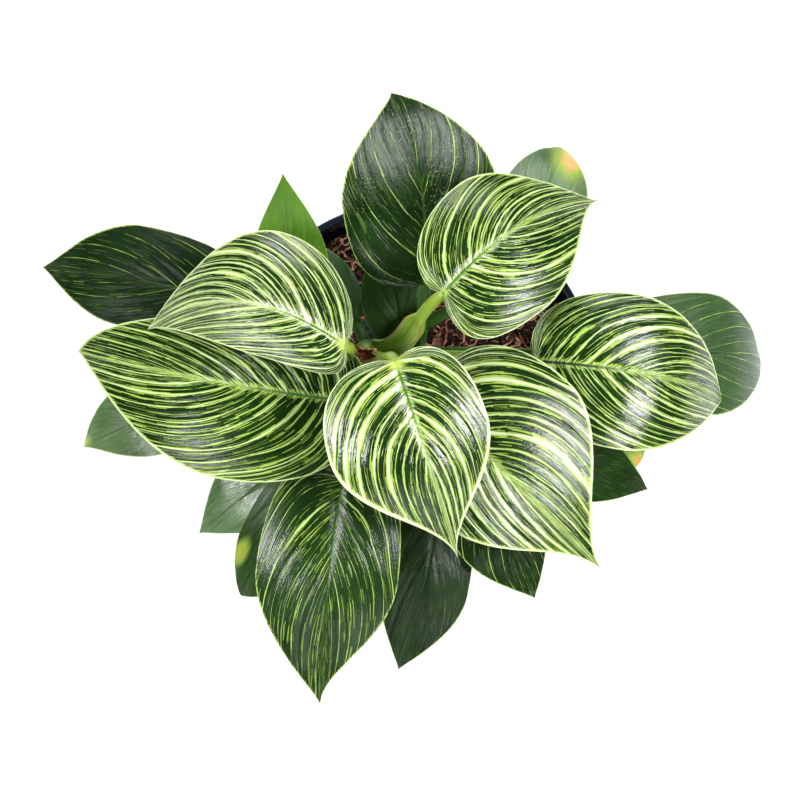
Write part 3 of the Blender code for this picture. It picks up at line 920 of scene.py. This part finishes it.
STEM_STEPS, STEM_SIDES = 120, 40
SCAR_STEP = 8.5 * MM        # height between two leaf scars


def make_stem():
    rings = []
    for step in range(STEM_STEPS + 1):
        z = STEM_FOOT.z + (STEM_TOP.z - STEM_FOOT.z) * step / STEM_STEPS
        centre, radius = stem_at(z)
        since_scar = (z / SCAR_STEP) % 1
        swell = 1 + 0.05 * math.exp(-since_scar * 5) - 0.06 * math.exp(-((since_scar - 0.96) / 0.05) ** 2)
        close = min(1, (STEM_STEPS - step) / 6) ** 0.5 if step < STEM_STEPS else 0.15
        rings.append(ring_of(centre, radius * swell * (0.3 + 0.7 * close), STEM_SIDES))
    return loft("stem_skin", rings, bark_finish())


stand_for(make_stem(), "stem")


# %% Bud scale
def scale_finish(name, dark, light):
    """Dry brown skin, mottled and matt."""
    finish, tree, shader = new_material(name, 0.75)
    spot = add(tree, "ShaderNodeTexCoord").outputs["Object"]
    mottle = noise(tree, spot, 420, 4)
    feed(shader.inputs["Base Color"], blend(tree, mottle.step(0.35, 0.65), dark, light))
    bump = add(tree, "ShaderNodeBump", {"Height": mottle, "Strength": 0.6, "Distance": 0.0006})
    feed(shader.inputs["Normal"], bump.outputs[0])
    return finish


CUP_OUTSIDE = [(0, 2.6), (2, 3.2), (4, 3.5), (6, 3.4), (7.2, 3.1)]     # (height, radius) in millimetres
CUP_INSIDE = [(7.4, 2.7), (6.4, 2.5), (3, 2.2), (1, 1.2)]
CUP_HEIGHT, CUP_SIDES = 7, 48
FLAPS = [(0.6, 0.8), (2.4, 1.0), (5.9, 1.2)]        # (turn in radians, size) of the lip's folded flaps


def make_bud_scale():
    """A small dry cup in front of the stem's tip, open at the top, with a torn lip and folded flaps.

    It stands against the top leaf's stalk and cuts a little into it.
    """
    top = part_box("bud_scale")[1][2]
    foot = Vector((-0.0188, -0.0010, top - 8 * MM))
    rings = []
    for height, radius in CUP_OUTSIDE + CUP_INSIDE:
        ring = []
        rim = height / CUP_HEIGHT
        for k in range(CUP_SIDES):
            a = math.tau * k / CUP_SIDES
            tear = (1.0 * math.sin(3 * a + 1) + 0.6 * math.sin(7 * a) + 0.4 * math.sin(13 * a)) * rim ** 3
            flap = sum(size * math.exp(-((a - turn) / 0.28) ** 2) for turn, size in FLAPS) * rim ** 2
            reach = radius * (1 + 0.9 * flap)
            z = height + tear - flap * 1.2
            ring.append(foot + Vector((math.cos(a) * reach, math.sin(a) * reach * 0.8, z)) * MM)
        rings.append(ring)
    return loft("bud_cup", rings, scale_finish("dry_scale", (0.045, 0.010, 0.004), (0.50, 0.22, 0.08)))


stand_for(make_bud_scale(), "bud_scale")


# %% Dried sheath
SHEATH_LINE = [Vector((8.5, 4.5, 158)) * MM, Vector((9.5, 7, 168)) * MM, Vector((12, 12.5, 176)) * MM]
SHEATH_STEPS, SHEATH_SIDES = 32, 16
SHEATH_WIDTH, SHEATH_CRIMP, SHEATH_THICKNESS = 3.2 * MM, 0.35 * MM, 0.25 * MM


def make_dried_sheath():
    """A curled papery sheet among the stalks on the stem's right. It hangs free, 2 mm from the nearest."""
    bm = bmesh.new()
    rows = []
    for i in range(SHEATH_STEPS + 1):
        p = i / SHEATH_STEPS
        middle = bezier(SHEATH_LINE, p)
        width = SHEATH_WIDTH * 0.8 * math.sin(math.pi * (0.12 + 0.80 * p)) ** 0.7
        row = []
        for k in range(SHEATH_SIDES + 1):
            across = k / SHEATH_SIDES * 2
            curl = (across - 1) * 2.0 + 0.5 * p
            crimp = SHEATH_CRIMP * math.sin(11 * p + 5 * across)
            off = Vector((width * math.sin(curl), crimp, width * (1 - math.cos(curl)) - crimp))
            row.append(bm.verts.new(middle + off))
        rows.append(row)
    for a, b in zip(rows, rows[1:]):
        for k in range(SHEATH_SIDES):
            bm.faces.new((a[k], a[k + 1], b[k + 1], b[k])).smooth = True
    papery = scale_finish("papery_sheath", (0.10, 0.025, 0.015), (0.50, 0.20, 0.13))
    sheath = from_bmesh("dried_sheath_paper", bm, papery)
    thick = sheath.modifiers.new("Thickness", "SOLIDIFY")
    thick.thickness = SHEATH_THICKNESS
    thick.offset = 0
    return sheath


stand_for(make_dried_sheath(), "dried_sheath")

# %% [markdown]
# ## The pot
#
# A nursery pot is moulded from thin dark plastic: a tapered wall, a straight band under the rim that stiffens
# it, a rolled lip, and drain holes in the floor. It is a turned shape, so its section is drawn once and spun.
# The edges are rounded in the section itself, which is finer than a bevel over the whole mesh.

# %% The pot's section
POT_HEIGHT, RIM_RADIUS, BASE_RADIUS = 125 * MM, 75 * MM, 54 * MM
POT_WALL, HEEL = 1.4 * MM, 2.5 * MM
LIP_WIDTH, LIP_DEPTH = 1.8 * MM, 2.2 * MM
BAND_DEPTH, BAND_STEP = 17 * MM, 1.6 * MM
FOOT_RING, FOOT_RISE = 9 * MM, 0.6 * MM     # the ring it stands on, and how far the floor lies above it
DRAIN_COUNT, DRAIN_RADIUS, DRAIN_CIRCLE = 8, 5 * MM, 38 * MM
TURNED_STEPS = 180


def wall_radius(z):
    shoulder = RIM_RADIUS - LIP_WIDTH - BAND_STEP
    return BASE_RADIUS + (shoulder - BASE_RADIUS) * z / (POT_HEIGHT - BAND_DEPTH)


def rounded(corners, steps=6):
    """Replace each (radius, height, rounding) corner by a short arc."""
    points = []
    for i, (r, z, size) in enumerate(corners):
        here = Vector((r, z))
        if not size:
            points.append(here)
            continue
        before = Vector(corners[i - 1][:2]) - here
        after = Vector(corners[i + 1][:2]) - here
        start = here + before.normalized() * size
        end = here + after.normalized() * size
        points += [bezier([start, here, end], t / steps) for t in range(steps + 1)]
    return points


def spun(name, profile, finish):
    """Spin an outline of (radius, height) points about the pot's axis."""
    bm = bmesh.new()
    verts = [bm.verts.new((point.x, 0, point.y)) for point in profile]
    edges = [bm.edges.new(pair) for pair in zip(verts, verts[1:])]
    bmesh.ops.spin(bm, geom=verts + edges, cent=(0, 0, 0), axis=(0, 0, 1), angle=math.tau, steps=TURNED_STEPS)
    bmesh.ops.remove_doubles(bm, verts=bm.verts, dist=0.01 * MM)
    bmesh.ops.recalc_face_normals(bm, faces=bm.faces)
    for face in bm.faces:
        face.smooth = True
    piece = from_bmesh(name, bm, finish)
    piece.data.set_sharp_from_angle(angle=math.radians(40))
    return piece


def pot_finish():
    """Moulded dark plastic: half gloss, a little mottled, with a fine grain and dust near the rim."""
    finish, tree, shader = new_material("pot_plastic", 0.35)
    spot = add(tree, "ShaderNodeTexCoord").outputs["Object"]
    height = parts(tree, spot)[2]
    grain = noise(tree, spot, 1600, 2)
    cloud = noise(tree, spot, 35, 3)
    dust = (cloud + height * 2).step(0.62, 0.95) * 0.35
    colour = blend(tree, cloud.step(0.3, 0.7), (0.004, 0.009, 0.018), (0.009, 0.017, 0.032))
    feed(shader.inputs["Base Color"], blend(tree, dust, colour, (0.035, 0.045, 0.06)))
    feed(shader.inputs["Roughness"], cloud * 0.2 + 0.12 + dust * 0.4)
    bump = add(tree, "ShaderNodeBump", {"Height": grain, "Strength": 0.25, "Distance": 0.0001})
    feed(shader.inputs["Normal"], bump.outputs[0])
    return finish


def make_pot():
    shoulder = POT_HEIGHT - BAND_DEPTH
    band = RIM_RADIUS - LIP_WIDTH
    inner = band - POT_WALL
    lip_foot = POT_HEIGHT - LIP_DEPTH
    band_foot = shoulder + 1.4 * MM
    outside = [
        (0, FOOT_RISE, 0), (BASE_RADIUS - FOOT_RING, FOOT_RISE, 0.4 * MM),
        (BASE_RADIUS - FOOT_RING - FOOT_RISE, 0, 0.3 * MM), (BASE_RADIUS - HEEL, 0, 1.2 * MM),
        (wall_radius(HEEL), HEEL, 1 * MM), (wall_radius(shoulder), shoulder, 0.7 * MM),
        (band - 0.4 * MM, band_foot, 0.7 * MM), (band, lip_foot, 0.4 * MM),
        (RIM_RADIUS, lip_foot, 0.6 * MM), (RIM_RADIUS, POT_HEIGHT, 0.9 * MM),
    ]
    inside = [
        (inner, POT_HEIGHT, 0.8 * MM), (inner - 0.4 * MM, band_foot, 0.6 * MM),
        (wall_radius(shoulder) - POT_WALL, shoulder, 0.6 * MM),
        (wall_radius(HEEL) - POT_WALL, HEEL, 0.8 * MM),
        (BASE_RADIUS - HEEL - POT_WALL, POT_WALL, 0.6 * MM), (0, POT_WALL, 0),
    ]
    pot = spun("pot_shell", rounded(outside + inside), pot_finish())
    drills = bmesh.new()
    for number in range(DRAIN_COUNT):
        turn = math.tau * number / DRAIN_COUNT
        spot = Matrix.Translation(Vector((math.cos(turn), math.sin(turn), 0)) * DRAIN_CIRCLE)
        bmesh.ops.create_cone(drills, cap_ends=True, segments=48, depth=8 * MM, radius1=DRAIN_RADIUS,
                              radius2=DRAIN_RADIUS, matrix=spot)
    drills = from_bmesh("drain_drills", drills)
    cut = pot.modifiers.new("Drain holes", "BOOLEAN")
    cut.object = drills
    graph = bpy.context.evaluated_depsgraph_get()
    drilled = bpy.data.meshes.new_from_object(pot.evaluated_get(graph))
    pot.modifiers.clear()
    pot.data = drilled
    bpy.data.objects.remove(drills)
    return pot


stand_for(make_pot(), "pot")

# %% [markdown]
# ## Soil
#
# Potting mix for such plants is dark peat with coir: short reddish fibres that lie on top in all directions,
# with crumbs and bark between them. The bed is a closed, lofted body with a bumpy top. The fibres and crumbs
# repeat thousands of times along a surface, which is what Geometry Nodes do best: points are scattered on
# the bed, a fibre or a crumb is set on each, and a noise bends them so that no two are alike.

# %% The bed
SOIL_TOP, SOIL_MOUND = 110 * MM, 2.5 * MM
SOIL_GAP = 0.3 * MM         # at the floor. Up the wall it closes, and the top edge sinks 0.35 mm in
SOIL_RINGS = 64


def earth_finish(name, dark, light, roughness=0.95):
    finish, tree, shader = new_material(name, roughness)
    spot = add(tree, "ShaderNodeTexCoord").outputs["Object"]
    crumb = noise(tree, spot, 260, 4)
    patch = noise(tree, spot, 1100, 2)
    feed(shader.inputs["Base Color"], blend(tree, (crumb * 0.6 + patch * 0.4).step(0.38, 0.62), dark, light))
    bump = add(tree, "ShaderNodeBump", {"Height": crumb, "Strength": 0.8, "Distance": 0.0012})
    feed(shader.inputs["Normal"], bump.outputs[0])
    return finish


def lumps(x, y):
    """Height of the bed's crumbs at a place."""
    return (field.fractal(Vector((x, y, 0)) / 0.009, 0.8, 2.1, 4) * 1.3
            + field.fractal(Vector((x, y, 0.2)) / 0.03, 1, 2, 2) * 0.8) * MM


def level_ring(z, radius):
    return ring_of(Vector((0, 0, z)), radius, TURNED_STEPS)


def make_soil():
    """The bed with its skin down the pot's wall and over its floor, so that it is closed all round."""
    rim = wall_radius(SOIL_TOP) - POT_WALL - SOIL_GAP
    foot = BASE_RADIUS - HEEL - POT_WALL - SOIL_GAP
    rings = [level_ring(POT_WALL + SOIL_GAP, share * foot) for share in (0.02, 0.5, 1.0)]
    rings.append(level_ring(HEEL, wall_radius(HEEL) - POT_WALL - SOIL_GAP * 2))
    rings.append(level_ring(SOIL_TOP - 4 * MM, rim))
    for step in range(SOIL_RINGS):
        radius = rim * (1 - step / SOIL_RINGS) ** 0.9
        mound = SOIL_MOUND * math.exp(-(radius / (30 * MM)) ** 2)
        drop = 3 * MM * max(0, 1 - step / 3)
        ring = level_ring(0, radius)
        for point in ring:
            point.z = SOIL_TOP + mound + lumps(point.x, point.y) - drop
        rings.append(ring)
    return loft("soil_bed", rings, earth_finish("peat", (0.004, 0.002, 0.0015), (0.035, 0.014, 0.010)))


bed = make_soil()


# %% Fibres and crumbs on the bed
LITTER_NUMBERS = ("Count per m2", "Length", "Thickness", "Flatness", "Bend", "Reach", "Seed")


def random_vector(tree, low, high, seed):
    node = add(tree, "FunctionNodeRandomValue", data_type="FLOAT_VECTOR")
    feed(node.inputs[0], low)
    feed(node.inputs[1], high)
    feed(node.inputs["Seed"], seed)
    return node.outputs[0]


def thread(tree, radius):
    """A bent thread with a three-sided section. It is 1 m long until it is scaled."""
    line = add(tree, "GeometryNodeCurvePrimitiveBezierSegment",
               {"Resolution": 7, "Start": (-0.5, 0, 0), "Start Handle": (-0.1, 0.5, 0.1),
                "End Handle": (0.1, -0.4, 0.2), "End": (0.5, 0.1, 0)})
    section = add(tree, "GeometryNodeCurvePrimitiveCircle", {"Resolution": 3, "Radius": radius})
    return add(tree, "GeometryNodeCurveToMesh",
               {"Curve": line.outputs[0], "Profile Curve": section.outputs[0], "Fill Caps": True})


def litter_tree(name, fibre):
    """Scatter fibres (short bent threads) or crumbs (small flat lumps) over a surface."""
    tree, given, result = geometry_tree(name, LITTER_NUMBERS, ("Finish",), takes_mesh=True)
    density, length, thick, flat, bend, reach, seed = [Sum(given[number]) for number in LITTER_NUMBERS]
    up = parts(tree, add(tree, "GeometryNodeInputNormal").outputs[0])[2]
    height = parts(tree, add(tree, "GeometryNodeInputPosition").outputs[0])[2]
    open_side = (up.math("GREATER_THAN", 0.3) * height.math("GREATER_THAN", 0.1)).socket
    points = add(tree, "GeometryNodeDistributePointsOnFaces",
                 {"Mesh": given["Surface"], "Selection": open_side, "Density": density, "Seed": seed})
    turn = random_vector(tree, (-0.45, -0.45, -3.14), (0.45, 0.45, 3.14), seed)
    long, wide, high = parts(tree, random_vector(tree, (0.35, 0.6, 0.6), (1.3, 1.4, 1.4), seed + 1))
    if fibre:
        shape = thread(tree, thick / length)
        scale = vector(tree, long * length, long * length, long * length)
    else:
        shape = add(tree, "GeometryNodeMeshIcoSphere", {"Radius": 0.5, "Subdivisions": 1})
        scale = vector(tree, long * length, wide * thick, high * thick * flat)
    laid = add(tree, "GeometryNodeInstanceOnPoints",
               {"Points": points.outputs[0], "Instance": shape.outputs[0], "Rotation": turn, "Scale": scale})
    mesh = add(tree, "GeometryNodeRealizeInstances", {"Geometry": laid.outputs[0]}).outputs[0]
    place = add(tree, "GeometryNodeInputPosition").outputs[0]
    sway = add(tree, "ShaderNodeTexNoise", {"Vector": place, "Scale": 120, "Detail": 2})
    x, y, z = parts(tree, sway.outputs["Color"])
    shift = vector(tree, (x - 0.5) * bend, (y - 0.5) * bend, (z - 0.5) * bend * 0.7 + thick * 0.3)
    mesh = add(tree, "GeometryNodeSetPosition", {"Geometry": mesh, "Offset": shift}).outputs[0]
    x, y, z = parts(tree, place)
    inward = (reach / ((x ** 2 + y ** 2) ** 0.5).peak(0.001)).math("MINIMUM", 1)
    within = vector(tree, x * inward, y * inward, z)
    mesh = add(tree, "GeometryNodeSetPosition", {"Geometry": mesh, "Position": within}).outputs[0]
    feed(result, add(tree, "GeometryNodeSetMaterial",
                     {"Geometry": mesh, "Material": given["Finish"]}).outputs[0])
    return tree


# %% Cover the bed
REACH = wall_radius(SOIL_TOP - 4 * MM) - POT_WALL - 0.4 * MM    # no litter lies further out than this


def litter(name, tree, finish, density, length, thick, flat, bend, seed):
    """One kind of litter on the bed: pieces per square metre, and sizes in millimetres."""
    mesh = grown(name, tree, {
        "Count per m2": density, "Length": length * MM, "Thickness": thick * MM, "Flatness": flat,
        "Bend": bend * MM, "Reach": REACH, "Seed": seed, "Finish": finish,
    }, bed)
    print(name, len(mesh.polygons), "faces")
    return new_object(name, mesh)


coir = earth_finish("coir", (0.34, 0.13, 0.07), (1.0, 0.56, 0.38), 0.8)
dark_coir = earth_finish("dark_coir", (0.03, 0.010, 0.006), (0.16, 0.06, 0.035), 0.85)
crumbs = earth_finish("crumbs", (0.010, 0.004, 0.003), (0.10, 0.04, 0.025))
FIBRES, CRUMBS = litter_tree("fibres", True), litter_tree("crumbs", False)
pieces = [
    litter("pale_fibres", FIBRES, coir, 105000, 6.5, 0.40, 1, 5, 1.0),
    litter("dark_fibres", FIBRES, dark_coir, 70000, 8, 0.35, 1, 6, 2.0),
    litter("soil_crumbs", CRUMBS, crumbs, 30000, 2.0, 1.5, 0.7, 1.5, 3.0),
    litter("bark_flakes", CRUMBS, dark_coir, 6000, 3.6, 2.0, 0.35, 2.0, 4.0),
]
soil = joined("soil_whole", bed, *pieces)
soil.data.calc_loop_triangles()
print("soil", len(soil.data.loop_triangles), "triangles")
stand_for(soil, "soil")

# %% Hand over
bpy.context.view_layer.update()
